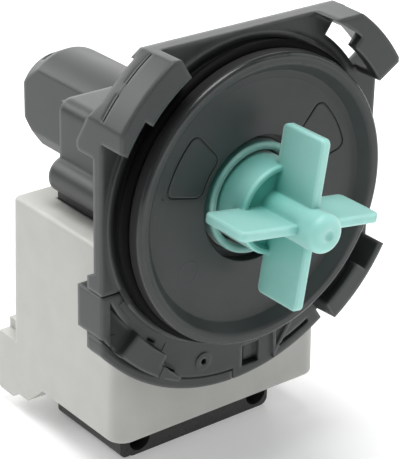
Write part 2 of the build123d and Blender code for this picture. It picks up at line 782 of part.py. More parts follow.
def can_head_area():
    """Section of the can's head: round crown, straight cheeks and a rounded belly."""
    half = CAN_HEAD_HALF_W
    crown = Circle(CAN_HEAD_R) & front_area(-half, half, CAN_CHEEK_LOW, CAN_HEAD_R)
    jaw = make_face(Polyline(
        (-half, 0),
        (half, 0),
        (half, CAN_CHEEK_LOW),
        (CAN_BELLY_HALF_W, CAN_BELLY_TOP),
        (CAN_BELLY_HALF_W, -CAN_HEAD_R),
        (-CAN_BELLY_HALF_W, -CAN_HEAD_R),
        (-CAN_BELLY_HALF_W, CAN_BELLY_TOP),
        (-half, CAN_CHEEK_LOW),
        close=True,
    ))
    return crown + (jaw & Circle(CAN_BELLY_R))


def can_slot(angle):
    """Small notch in the cone at the end of the can's head."""
    middle = CAN_HEAD_BACK - CAN_CONE_L / 2
    x, z = polar((CAN_HEAD_R + CAN_CONE_R) / 2, angle)
    return Pos(x, middle, z) * Rot(0, -angle, 0) * Box(2 * CAN_SLOT_DEPTH, CAN_SLOT_L, CAN_SLOT_W)


def rotor_can():
    """Can that keeps the wet rotor apart from the coils, with a collar and a stout head."""
    bore = CAN_R - CAN_WALL
    steep = CAN_CONE_L / (CAN_HEAD_R - CAN_CONE_R)
    cone = turned([
        (0, CAN_HEAD_FRONT - 1),
        (CAN_HEAD_R + 1, CAN_HEAD_FRONT - 1),
        (CAN_HEAD_R + 1, CAN_HEAD_BACK - CAN_CONE_L - steep),
        (CAN_CONE_R, CAN_HEAD_BACK),
        (0, CAN_HEAD_BACK),
    ])
    head = slab(can_head_area(), CAN_HEAD_FRONT, CAN_HEAD_BACK) & cone
    for angle in CAN_SLOT_ANGLES:
        head -= can_slot(angle)
    low = HOUSING_TOP + PART_GAP
    collar_area = front_area(-CAN_COLLAR_HALF_W, CAN_COLLAR_HALF_W, low, CAN_COLLAR_TOP)
    collar = slab(collar_area, CAN_HEAD_FRONT, CAN_HEAD_FRONT + CAN_COLLAR_T)
    body = rod(CAN_R, FLANGE_FRONT + SEAT_GAP, CAN_HEAD_FRONT + 1) + head + collar
    body -= rod(bore, FLANGE_FRONT - 1, CAN_HEAD_FRONT + CAN_COLLAR_T - 2 * CAN_WALL)
    return body - rod(CAN_TAIL_R, CAN_HEAD_FRONT - 2 * CAN_WALL, CAN_TAIL_BACK)


def hood_area(half_w, top, radius):
    """Section of the pole hood, round at its two top corners."""
    area = front_area(-half_w, half_w, HOOD_LOW, top)
    corners = area.vertices().group_by(Axis.Y)[-1]
    return fillet(corners, radius)


def hood_bosses(radius, y0, y1):
    """Two round bars on the lines of the hood's screws."""
    return rod(radius, y0, y1, -BOSS_X, BOSS_Z) + rod(radius, y0, y1, BOSS_X, BOSS_Z)


def pole_hood():
    """Hood over the poles behind the flange, with a screw boss at each side."""
    shell = slab(hood_area(HOOD_HALF_W, HOOD_TOP, HOOD_ROUND), PLATE_BACK, HOOD_BACK)
    shell += hood_bosses(BOSS_R, PLATE_BACK, BOSS_BACK)
    inner_half = HOOD_HALF_W - HOOD_WALL
    inner = hood_area(inner_half, HOOD_TOP - HOOD_WALL, HOOD_ROUND - HOOD_WALL)
    inner += front_area(-inner_half, inner_half, HOOD_LOW - 1, HOOD_LOW + 1)
    room = slab(inner, PLATE_BACK - 1, BOSS_BACK + 1) - hood_bosses(BOSS_R, PLATE_BACK - 2, BOSS_BACK + 2)
    return shell - room - hood_bosses(PILOT_R, BOSS_BACK - PILOT_L, BOSS_BACK + 1)


def stator_core():
    """U-shaped stack of sheets: yoke with two holes, two legs and the poles round the can."""
    leg_in = CORE_HALF_W - CORE_LEG_W
    shoulder = HOOD_LOW - PART_GAP
    area = front_area(-CORE_HALF_W, CORE_HALF_W, CORE_LOW, CORE_LOW + YOKE_H)
    for side in (-1, 1):
        ends = sorted((side * leg_in, side * CORE_HALF_W))
        area += front_area(*ends, CORE_LOW, shoulder)
        tips = sorted((side * POLE_REACH_X, side * POLE_HALF_W))
        area += front_area(*tips, HOUSING_TOP + PART_GAP, POLE_TOP)
    area -= Circle(POLE_BORE_R)
    for side in (-1, 1):
        area -= Pos(side * BOSS_X, BOSS_Z) * Circle(BOSS_R + PART_GAP)
        area -= Pos(side * HOLE_X, HOLE_Z) * Circle(HOLE_R)
    body = slab(area, CORE_FRONT, CORE_BACK)
    low = CORE_LOW + 0.1
    return fillet_where(body, CORE_CORNER_R, lambda e: e.center().Z < low and abs(e.center().X) > CORE_HALF_W - 0.1)


def drafted_block(low, back, front_r=0.0, back_r=0.0):
    """Tapered block of the coil housing, wider towards its bottom."""
    area = front_area(-HOUSING_HALF_W, HOUSING_HALF_W, HOUSING_FRONT, back)
    if front_r:
        area = fillet(area.vertices().group_by(Axis.Y)[0], front_r)
        area = fillet(area.vertices().group_by(Axis.Y)[-1], back_r)
    height = HOUSING_TOP - low
    return extrude(Plane.XY.offset(HOUSING_TOP) * area, amount=-height, taper=-HOUSING_DRAFT_DEG)


def leg_holes(gap, top, low):
    """Two upright blocks where the core's legs pass."""
    leg_in = CORE_HALF_W - CORE_LEG_W
    holes = Part()
    for side in (-1, 1):
        ends = sorted((side * (leg_in - gap), side * (CORE_HALF_W + gap)))
        holes += block(*ends, CORE_FRONT - gap, CORE_BACK + gap, low, top)
    return holes


def coil_housing():
    """White moulded box round the two coils."""
    body = drafted_block(HOUSING_LOW, HOUSING_BACK, HOUSING_FRONT_R, HOUSING_BACK_R)
    body = fillet_where(body, HOUSING_EDGE_R, lambda e: abs(e.center().Z - HOUSING_TOP) < 0.01)
    body = fillet_where(body, HOUSING_LOW_EDGE_R, lambda e: abs(e.center().Z - HOUSING_LOW) < 0.01)
    wall = HOUSING_WALL
    room = block(
        -HOUSING_HALF_W + wall, HOUSING_HALF_W - wall,
        HOUSING_FRONT + wall, HOUSING_BACK - wall,
        HOUSING_LOW + wall, HOUSING_TOP - HOUSING_ROOF_T,
    )
    body -= room
    body -= rod(CAN_R + PART_GAP, HOUSING_FRONT - 1, CAN_HEAD_FRONT + CAN_COLLAR_T)
    body -= rod(CAN_BELLY_R + PART_GAP, CAN_HEAD_FRONT - PART_GAP, CAN_HEAD_BACK)
    body -= block(
        -HOUSING_HALF_W + wall, SOCKET_RIGHT,
        SOCKET_INNER_FRONT, SOCKET_BACK,
        HOUSING_LOW - 1, SOCKET_TOP,
    )
    return body - leg_holes(PART_GAP, HOUSING_TOP + 1, HOUSING_LOW - 1)


def coil_stack():
    """Bottom and top height of the coil formers inside the housing."""
    return HOUSING_LOW + HOUSING_WALL + COIL_GAP, HOUSING_TOP - HOUSING_ROOF_T - COIL_GAP


def coil_ring(side, inner, outer, low, top):
    """Upright rectangular ring round one leg, grown from the leg by two amounts."""
    leg_in = CORE_HALF_W - CORE_LEG_W
    ends = sorted((side * leg_in, side * CORE_HALF_W))
    ring = block(ends[0] - outer, ends[1] + outer, CORE_FRONT - outer, CORE_BACK + outer, low, top)
    return ring - block(ends[0] - inner, ends[1] + inner, CORE_FRONT - inner, CORE_BACK + inner, low - 1, top + 1)


def coil_former(side):
    """Former with a flange at each end."""
    low, top = coil_stack()
    inner = PART_GAP
    wall = inner + BOBBIN_WALL
    outer = wall + SEAT_GAP + COIL_T
    body = coil_ring(side, inner, wall, low, top)
    body += coil_ring(side, inner, outer, low, low + BOBBIN_FLANGE_T)
    return body + coil_ring(side, inner, outer, top - BOBBIN_FLANGE_T, top)


def coil_winding(side):
    """Wound copper between the flanges of a former."""
    low, top = coil_stack()
    inner = PART_GAP + BOBBIN_WALL + SEAT_GAP
    ring = coil_ring(side, inner, inner + COIL_T - 0.5, low + BOBBIN_FLANGE_T + SEAT_GAP, top - BOBBIN_FLANGE_T - SEAT_GAP)
    leg_mid = side * (CORE_HALF_W - CORE_LEG_W / 2)
    outer = CORE_LEG_W / 2 + inner + COIL_T - 1.0
    return fillet_where(ring, COIL_ROUND, lambda e: e.length > 30 and abs(e.center().X - leg_mid) > outer and (e.center().Y < CORE_FRONT - 2 or e.center().Y > CORE_BACK + 2))


def thermal_cutout():
    """Small cut-out in its sleeve between the two coils."""
    mid_y = (CORE_FRONT + CORE_BACK) / 2
    mid_z = (HOUSING_TOP + HOUSING_LOW) / 2
    leg_in = CORE_HALF_W - CORE_LEG_W
    face = leg_in - PART_GAP - BOBBIN_WALL - SEAT_GAP - COIL_T + 0.5
    body = block(face - CUTOUT_T, face - 0.05, mid_y - CUTOUT_W / 2, mid_y + CUTOUT_W / 2, mid_z - CUTOUT_L / 2, mid_z + CUTOUT_L / 2)
    return fillet(body.edges().filter_by(Axis.Z), 1.0)


def socket_outline():
    """Side view of the socket: stepped underside that rises towards the housing."""
    low = HOUSING_LOW + SOCKET_ROUND
    step_front = SOCKET_HEEL - SOCKET_STEP_L
    outline = make_face(Polyline(
        (step_front - SOCKET_SLOPE_L - SOCKET_ROUND, low),
        (SOCKET_INNER_FRONT, low),
        (SOCKET_INNER_FRONT, SOCKET_TOP),
        (SOCKET_BACK, SOCKET_TOP),
        (SOCKET_BACK, SOCKET_LOW),
        (SOCKET_HEEL, SOCKET_LOW),
        (SOCKET_HEEL - SOCKET_STEP, SOCKET_STEP_LOW),
        (step_front, SOCKET_STEP_LOW),
        (step_front - SOCKET_SLOPE_L, SOCKET_STEP_LOW + SOCKET_SLOPE_UP),
        close=True,
    ))
    under = [v for v in outline.vertices() if v.Y < SOCKET_STEP_LOW + 0.1]
    return fillet(under, SOCKET_ROUND)


def plug_socket():
    """Socket for the supply plug at the lower left of the housing, open to the rear."""
    left = HOUSING_HALF_W + SOCKET_WALL + SOCKET_DROP
    side_view = Plane.YZ.offset(-left) * socket_outline()
    body = extrude(side_view, amount=left + SOCKET_RIGHT)
    body &= drafted_block(SOCKET_LOW - 2, SOCKET_BACK + 5)
    body -= coil_housing()
    crown_left = -HOUSING_HALF_W + SOCKET_CROWN_INSET
    crown_front = HOUSING_BACK + SOCKET_WALL
    crown_top = HOUSING_LOW + SOCKET_CROWN_RISE
    body += block(crown_left, SOCKET_RIGHT, crown_front, SOCKET_BACK, SOCKET_TOP - 1, crown_top)
    yoke_side = CORE_HALF_W + PART_GAP
    body -= block(-yoke_side, yoke_side, CORE_FRONT, CORE_BACK + PART_GAP, CORE_LOW, HOUSING_LOW + 1)
    mouth_front = SOCKET_INNER_FRONT + SOCKET_WALL
    mouth_left = -HOUSING_HALF_W + HOUSING_WALL + SOCKET_WALL
    body -= block(
        mouth_left, SOCKET_RIGHT - SOCKET_WALL,
        mouth_front, SOCKET_BACK + 1,
        SOCKET_STEP_LOW + SOCKET_WALL, SOCKET_TOP - SOCKET_WALL,
    )
    return body


def spade_tabs():
    """Two flat tabs that the plug slides on."""
    root = SOCKET_INNER_FRONT + SOCKET_WALL
    mid_x = (-HOUSING_HALF_W + HOUSING_WALL + SOCKET_RIGHT) / 2
    mid_z = (SOCKET_STEP_LOW + SOCKET_TOP) / 2
    tabs = []
    for side in (-1, 1):
        x = mid_x + side * TAB_PITCH / 2
        tab = block(x - TAB_W / 2, x + TAB_W / 2, root, TAB_TIP, mid_z - TAB_T / 2, mid_z + TAB_T / 2)
        tip = [e for e in tab.edges().filter_by(Axis.Z) if e.center().Y > TAB_TIP - 0.1]
        tabs.append(chamfer(tip, 1.2))
    return Compound(children=tabs)


def save(shape, name):
    """Write one piece to its own file."""
    export_step(shape, f"parts/{name}.step")


def main():
    """Build every piece and write it."""
    os.makedirs("parts", exist_ok=True)
    can_step = CAN_HEAD_FRONT + CAN_COLLAR_T - 2 * CAN_WALL
    front_bearing = CARRIER_FLOOR + 0.4
    rear_bearing = can_step + PART_GAP
    save(mounting_flange(), "mounting_flange")
    save(locking_tongue(), "locking_tongue")
    save(chamber_disc(), "chamber_disc")
    save(seal_ring(), "seal_ring")
    save(impeller(), "impeller")
    save(coupling_driver(), "coupling_driver")
    save(coupling_damper(), "coupling_damper")
    save(rotor_shaft(), "rotor_shaft")
    save(rotor_magnet(), "rotor_magnet")
    save(rotor_core(), "rotor_core")
    save(thrust_washer(MAGNET_FRONT - ROTOR_CAP_T - WASHER_T - 0.1), "front_thrust_washer")
    save(thrust_washer(MAGNET_FRONT + MAGNET_L + ROTOR_CAP_T + 0.1), "rear_thrust_washer")
    save(bearing(front_bearing), "front_bearing")
    save(bearing(rear_bearing), "rear_bearing")
    save(bearing_mount(front_bearing + 0.3, MOUNT_R), "front_bearing_mount")
    save(bearing_mount(rear_bearing + 0.3, CAN_TAIL_R - SEAT_GAP), "rear_bearing_mount")
    save(bearing_carrier(), "bearing_carrier")
    save(rotor_can(), "rotor_can")
    save(pole_hood(), "pole_hood")
    save(stator_core(), "stator_core")
    save(coil_housing(), "coil_housing")
    for side, word in ((-1, "left"), (1, "right")):
        save(coil_former(side), f"{word}_coil_former")
        save(coil_winding(side), f"{word}_coil_winding")
    save(thermal_cutout(), "thermal_cutout")
    save(plug_socket(), "plug_socket")
    save(spade_tabs(), "spade_tabs")


main()
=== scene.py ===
"""Drain pump of a dishwasher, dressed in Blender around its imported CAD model.

The frame is in metres. Sizes given in mm are turned into metres with MM.
"""

import json
import math

import bmesh
import bpy
from mathutils import Matrix, Vector


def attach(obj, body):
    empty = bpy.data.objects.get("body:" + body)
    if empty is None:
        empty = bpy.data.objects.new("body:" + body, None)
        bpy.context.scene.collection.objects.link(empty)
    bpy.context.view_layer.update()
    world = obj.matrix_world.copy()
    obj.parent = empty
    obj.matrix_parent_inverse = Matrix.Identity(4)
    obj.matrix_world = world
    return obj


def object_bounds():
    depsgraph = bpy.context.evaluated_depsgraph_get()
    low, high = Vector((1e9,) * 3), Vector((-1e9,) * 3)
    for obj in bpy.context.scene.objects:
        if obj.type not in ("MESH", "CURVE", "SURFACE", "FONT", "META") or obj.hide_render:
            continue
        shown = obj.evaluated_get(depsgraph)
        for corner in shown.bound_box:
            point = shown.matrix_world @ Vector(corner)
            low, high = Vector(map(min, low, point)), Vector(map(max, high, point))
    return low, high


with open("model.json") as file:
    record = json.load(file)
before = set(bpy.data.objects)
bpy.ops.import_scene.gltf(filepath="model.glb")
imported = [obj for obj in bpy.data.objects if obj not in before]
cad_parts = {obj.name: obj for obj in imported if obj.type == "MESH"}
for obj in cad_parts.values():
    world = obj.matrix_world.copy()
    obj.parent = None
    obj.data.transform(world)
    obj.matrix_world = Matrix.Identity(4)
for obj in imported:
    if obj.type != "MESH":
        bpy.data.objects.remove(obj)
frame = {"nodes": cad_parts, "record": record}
cad_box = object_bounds()

MM = 0.001

# Camera, worked out from the photograph's perspective
EYE = Vector((-286.8, -334.3, 202.6)) * MM
AZIMUTH_DEG = -38.48
ELEVATION_DEG = 25.58
ROLL_DEG = 1.18
LENS_MM = 148.05
SENSOR_MM = 36.0
CLIP_START = 0.01

# Floor, in metres
FLOOR_HALF = 6.0
FLOOR_DROP = 0.05 * MM

# Strength of the room's light, and of the floor's own glow
ROOM_LIGHT = 0.12
FLOOR_GLOW = 0.25
# Lights: name, place and size in metres, power in watts; all look at the pump's middle
PUMP_MIDDLE = (0, 0.02, -0.02)
LIGHTS = (
    ("overhead box", (-0.05, -0.05, 1.2), (0.7, 0.7), 12.0),
    ("box above, in front", (0.0, -0.85, 1.1), (0.5, 0.5), 1.5),
    ("box behind", (0.35, 1.3, 0.5), (1.8, 0.9), 13.0),
    ("box behind, left", (-0.8, 1.2, 1.0), (1.0, 1.0), 13.0),
    ("box right", (1.1, -0.7, 0.5), (0.9, 0.9), 3.0),
)

# Plastics and rubber: colour, its paler flow, roughness, then the grain's width and depth in mm
FLANGE_GREY = ("303433", "373b3a", 0.42, 0.35, 0.012)
DISC_GREY = ("2b2f2e", "333736", 0.46, 0.35, 0.012)
HOUSING_WHITE = ("b9bab5", "bfc0bb", 0.45, 0.4, 0.010)
RUBBER_BLACK = ("080808", "0b0c0c", 0.6, 0.6, 0.006)
# Both turquoise plastics: roughness, then the grain's width and depth in mm
TURQUOISE_GRAIN = (0.40, 0.5, 0.006)
WALL_SHADE = "0d0e0e"
FLOW_CLOUD_MM = 9.0
PLASTIC_GLOSS = 0.05
METAL_GLOSS = 0.08
METAL_RELIEF_MM = 0.01
# A painted highlight makes a corner paler, the further it turns from its face and the more sky it sees
CORNER_TURN = {"From Min": 0.99, "From Max": 0.85}
CORNER_REACH_MM = 2.5
CORNER_SKY = {"From Min": 0.8, "From Max": 0.97}
# How much sky the deepest and the outermost faces of the impeller see, for the painted shade in the hub
HUB_REACH_MM = 16.0
HUB_SKY = {"From Min": 0.25, "From Max": 0.9}
CLOUD_CONTRAST = {"From Min": 0.32, "From Max": 0.68}
GRAIN_CONTRAST = {"From Min": 0.3, "From Max": 0.7}
# Sheets of about 0.5 mm are drawn further apart than they are, so that they show
SHEET_PITCH_MM = 0.65
LACQUER_SPECK_MM = 0.5
LACQUER_RELIEF_MM = 0.08
# Marks on the chamber disc in mm: centre x and z, radius, width, strength against the grain
DISC_MARKS = (
    (-21.9, -15.1, 3.05, 0.35, 5.0),
    (0.0, 0.0, 32.4, 0.5, 2.0),
    (-30.4, 7.8, 0.0, 0.45, -20.0),
)
# Sockets of a Mix node that mixes colours
MIX_A = 6
MIX_B = 7
MIX_OUT = 2
SRGB_KNEE = 0.04045
SRGB_SLOPE = 12.92
SRGB_LIFT = 0.055
SRGB_POWER = 2.4

# Rim of the chamber disc, in mm: it turns glossy outwards, then painted black as shade outwards and to the
# rear
GLOSSY_R = (38.2, 38.7)
GLOSSY_SHARE = 0.45
SHADE_R = (39.2, 39.7)
SHADE_Y = (0.4, 1.5)
SHADE_ROUGH = 0.85

# Sizes of the CAD model that the added pieces follow, in mm and degrees
FLANGE_FRONT = 10.0
PLATE_BACK = 13.5
SKIRT_BACK = 16.7
STEP_IN_R = 41.3
STEP_OUT_R = 43.0
STEP_H = 0.7
TONGUE_IN_R = 43.6
TONGUE_OUT_R = 53.5
TONGUE_ROOT = -121.0
TAIL_IN_R = 50.4
RAMP_RISE = 3.1
SLOT_W = 0.5
GRIP_LEFT = 44.2
GRIP_LOW_Z = -30.7
MARK_R = 52.65
MARK_FRONT = 9.6
MARK_ANGLES = ((124.0, 134.5), (138.0, 146.0))
CORE_FRONT = 25.35
BOSS_X = -24.6
BOSS_BACK = 55.1
BOSS_Z = -5.2

# Webs in the tongue's slots, in mm and degrees
WEB_GAP = 0.12
WEB_FRONT = 11.2
WEB_ANGLES = (-144.4, -121.5)
WEB_REACH = 6.6

# Skins over the tongue's slot and root, in mm and degrees
SKIN_T = 0.12
SKIN_GAP = 0.01
SKIN_LAP = 1.1
SKIN_END = TONGUE_ROOT - 1.3
SKIN_ANGLES = (-150.5, SKIN_END)
ROOT_ANGLES = (SKIN_END, TONGUE_ROOT + 1.6)
TAIL_ANGLES = (TONGUE_ROOT - 1.0, TONGUE_ROOT + 1.0)
TAIL_INSET = 0.05
STEP_ANGLES = (-156.0, -148.5)
STEP_SKIN = (-0.02, 0.4)

# Fills of the upper left hook's grooves, in mm from the groove's outer radius and front
FILL_R = (-0.4, -0.05)
FILL_Y = (0.45, 1.2)

# Strip beside the left side of the yoke, in mm
YOKE_LEFT = 27.4
YOKE_IN = 24.3
YOKE_TOP = -68.9
YOKE_LOW = -80.4
YOKE_ROUND = 2.2
YOKE_ROUND_STEPS = 6
YOKE_BACK = 55.8
NEAR = 0.1

# Screws in the hood's bosses
SCREW_START = (BOSS_X * MM, BOSS_BACK * MM, BOSS_Z * MM)
SCREW_SIZES_MM = {
    "head radius": 3.1,
    "head height": 1.6,
    "recess length": 3.0,
    "recess width": 0.8,
    "recess depth": 2.2,
    "spacing": 49.2,
}


def colour(code):
    """Linear colour from a hex code in sRGB."""
    channels = []
    for place in (0, 2, 4):
        value = int(code[place:place + 2], 16) / 255
        if value <= SRGB_KNEE:
            channels.append(value / SRGB_SLOPE)
        else:
            channels.append(((value + SRGB_LIFT) / (1 + SRGB_LIFT)) ** SRGB_POWER)
    return (*channels, 1.0)


# Materials


def add(tree, kind, settings=None, links=None):
    """Add a node with its properties, input values and links."""
    node = tree.nodes.new(kind)
    for name, value in (settings or {}).items():
        if isinstance(name, str) and hasattr(node, name):
            setattr(node, name, value)
        else:
            node.inputs[name].default_value = value
    for name, source in (links or {}).items():
        tree.links.new(source, node.inputs[name])
    return node


def start_material(name):
    """Empty material with its shader, and its Object coordinates in metres."""
    material = bpy.data.materials.new(name)
    material.use_nodes = True
    tree = material.node_tree
    tree.nodes.clear()
    place = add(tree, "ShaderNodeTexCoord").outputs["Object"]
    shader = add(tree, "ShaderNodeBsdfPrincipled")
    add(tree, "ShaderNodeOutputMaterial", links={"Surface": shader.outputs["BSDF"]})
    return material, tree, place, shader


def shader_of(material):
    """Shader of a finished material."""
    return material.node_tree.nodes["Principled BSDF"]


def finish_surface(tree, shader, height, depth_mm, round_mm=0.0):
    """Bump of a real depth, on corners rounded by a small radius; gives back how strongly a place takes the
    painted corner highlight.
    """
    depth = {"Strength": 1.0, "Distance": depth_mm * MM}
    relief = add(tree, "ShaderNodeBump", depth, {"Height": height})
    tree.links.new(relief.outputs["Normal"], shader.inputs["Normal"])
    if not round_mm:
        return None
    corner = add(tree, "ShaderNodeBevel", {"samples": 8, "Radius": round_mm * MM})
    rounded = corner.outputs["Normal"]
    tree.links.new(rounded, relief.inputs["Normal"])
    flat = add(tree, "ShaderNodeNewGeometry").outputs["Normal"]
    turn = add(tree, "ShaderNodeVectorMath", {"operation": "DOT_PRODUCT"}, {0: flat, 1: rounded})
    near = add(tree, "ShaderNodeMapRange", CORNER_TURN, {"Value": turn.outputs["Value"]})
    # Only corners that stick out take the painted highlight, so hollows are taken off by how little sky they
    # see
    reach = {"samples": 6, "only_local": True, "Distance": CORNER_REACH_MM * MM}
    sky = add(tree, "ShaderNodeAmbientOcclusion", reach)
    outward = add(tree, "ShaderNodeMapRange", CORNER_SKY, {"Value": sky.outputs["AO"]})
    both = {0: near.outputs["Result"], 1: outward.outputs["Result"]}
    highlight_share = add(tree, "ShaderNodeMath", {"operation": "MULTIPLY"}, both)
    return highlight_share.outputs[0]


def add_marks(tree, place, height, marks):
    """Raise or sink thin rings and dots in a relief, round centres in the disc's plane."""
    flat_place = add(tree, "ShaderNodeVectorMath", {"operation": "MULTIPLY", 1: (1, 0, 1)}, {0: place})
    for x, z, radius, width, strength in marks:
        centre = {"operation": "DISTANCE", 1: (x * MM, 0, z * MM)}
        reach = add(tree, "ShaderNodeVectorMath", centre, {0: flat_place.outputs[0]})
        ring = {"operation": "SUBTRACT", 1: radius * MM}
        off = add(tree, "ShaderNodeMath", ring, {0: reach.outputs["Value"]})
        gap = add(tree, "ShaderNodeMath", {"operation": "ABSOLUTE"}, {0: off.outputs[0]})
        fade = {"From Max": width * MM, "To Min": strength, "To Max": 0.0}
        line = add(tree, "ShaderNodeMapRange", fade, {"Value": gap.outputs[0]})
        both = {0: height, 1: line.outputs["Result"]}
        height = add(tree, "ShaderNodeMath", {"operation": "ADD"}, both).outputs[0]
    return height


def moulded_plastic(name, base, pale, rough, grain_mm, relief_mm, round_mm=0.0, corner_highlight=None, marks=()):
    """Plastic or a like body: fine grain, faint clouds, and softened corners with a painted highlight where
    asked.
    """
    material, tree, place, shader = start_material(name)
    size = {"Scale": 1 / (FLOW_CLOUD_MM * MM), "Detail": 3.0}
    clouds = add(tree, "ShaderNodeTexNoise", size, {"Vector": place}).outputs["Fac"]
    tone = add(tree, "ShaderNodeMapRange", CLOUD_CONTRAST, {"Value": clouds})
    colours = {"data_type": "RGBA", MIX_A: colour(base), MIX_B: colour(pale)}
    paint = add(tree, "ShaderNodeMix", colours, {0: tone.outputs["Result"]})
    spread = {"To Min": rough - PLASTIC_GLOSS, "To Max": rough + PLASTIC_GLOSS}
    gloss = add(tree, "ShaderNodeMapRange", spread, {"Value": clouds})
    tree.links.new(gloss.outputs["Result"], shader.inputs["Roughness"])
    size = {"Scale": 1 / (grain_mm * MM), "Detail": 2.0}
    grain = add(tree, "ShaderNodeTexNoise", size, {"Vector": place})
    height = add_marks(tree, place, grain.outputs["Fac"], marks)
    highlight_share = finish_surface(tree, shader, height, relief_mm, round_mm)
    # Corners take a painted highlight in the given colour
    if corner_highlight:
        corners = {"data_type": "RGBA", MIX_B: colour(corner_highlight)}
        paint = add(tree, "ShaderNodeMix", corners, {0: highlight_share, MIX_A: paint.outputs[MIX_OUT]})
    tree.links.new(paint.outputs[MIX_OUT], shader.inputs["Base Color"])
    return material


def metal(name, base, pale, rough, grain_mm):
    """Worked metal with fine variation in colour, gloss and relief."""
    material, tree, place, shader = start_material(name)
    size = {"Scale": 1 / (grain_mm * MM), "Detail": 3.0}
    grain = add(tree, "ShaderNodeTexNoise", size, {"Vector": place}).outputs["Fac"]
    tone = add(tree, "ShaderNodeMapRange", GRAIN_CONTRAST, {"Value": grain})
    colours = {"data_type": "RGBA", MIX_A: colour(base), MIX_B: colour(pale)}
    paint = add(tree, "ShaderNodeMix", colours, {0: tone.outputs["Result"]})
    tree.links.new(paint.outputs[MIX_OUT], shader.inputs["Base Color"])
    spread = {"To Min": rough - METAL_GLOSS, "To Max": rough + METAL_GLOSS}
    gloss = add(tree, "ShaderNodeMapRange", spread, {"Value": grain})
    tree.links.new(gloss.outputs["Result"], shader.inputs["Roughness"])
    shader.inputs["Metallic"].default_value = 1.0
    finish_surface(tree, shader, grain, METAL_RELIEF_MM)
    return material


def impeller_polypropylene(name, base, pale, hub_shade):
    """Turquoise polypropylene without filler: light gets a little way in, thin edges are paler by a painted
    highlight, and the hub takes painted shade.
    """
    material = moulded_plastic(name, base, pale, *TURQUOISE_GRAIN, round_mm=1.5, corner_highlight="dcfaf6")
    tree, shader = material.node_tree, shader_of(material)
    shader.inputs["Subsurface Weight"].default_value = 0.3
    shader.inputs["Subsurface Radius"].default_value = (0.6, 1.0, 0.95)
    shader.inputs["Subsurface Scale"].default_value = 1.2 * MM
    shader.inputs["Sheen Weight"].default_value = 0.9
    shader.inputs["Sheen Roughness"].default_value = 0.4
    # Painted shade: deep in the hub the colour turns darker and stronger, where walls are near
    sky = add(tree, "ShaderNodeAmbientOcclusion", {"samples": 8, "Distance": HUB_REACH_MM * MM})
    outward = add(tree, "ShaderNodeMapRange", HUB_SKY, {"Value": sky.outputs["AO"]})
    paint = shader.inputs["Base Color"].links[0].from_socket
    deep = {"data_type": "RGBA", MIX_A: colour(hub_shade)}
    mixed = add(tree, "ShaderNodeMix", deep, {0: outward.outputs["Result"], MIX_B: paint})
    tree.links.new(mixed.outputs[MIX_OUT], shader.inputs["Base Color"])
    return material


def seal_rubber():
    """Black rubber that gives hardly any gloss."""
    material = moulded_plastic("EPDM rubber, moulded", *RUBBER_BLACK)
    shader_of(material).inputs["Specular IOR Level"].default_value = 0.08
    return material


def lacquered_sheets():
    """Sheet edges as fine upright lines under a thick black dip that pools in between."""
    material, tree, place, shader = start_material("electrical steel sheets, dipped in lacquer")
    along = add(tree, "ShaderNodeSeparateXYZ", links={"Vector": place}).outputs["Y"]
    pitch = {"operation": "MULTIPLY", 1: 1 / (SHEET_PITCH_MM * MM)}
    lines = add(tree, "ShaderNodeMath", pitch, {0: along})
    saw = add(tree, "ShaderNodeMath", {"operation": "PINGPONG", 1: 0.5}, {0: lines.outputs[0]})
    size = {"Scale": 1 / (LACQUER_SPECK_MM * MM), "Detail": 3.0, "Roughness": 0.7}
    speckle = add(tree, "ShaderNodeTexNoise", size, {"Vector": place}).outputs["Fac"]
    height = add(tree, "ShaderNodeMath", {"operation": "ADD"}, {0: saw.outputs[0], 1: speckle})
    tone = add(tree, "ShaderNodeMapRange", GRAIN_CONTRAST, {"Value": speckle})
    colours = {"data_type": "RGBA", MIX_A: colour("232423"), MIX_B: colour("3c3d3a")}
    paint = add(tree, "ShaderNodeMix", colours, {0: tone.outputs["Result"]})
    tree.links.new(paint.outputs[MIX_OUT], shader.inputs["Base Color"])
    shader.inputs["Roughness"].default_value = 0.42
    finish_surface(tree, shader, height.outputs[0], LACQUER_RELIEF_MM)
    return material


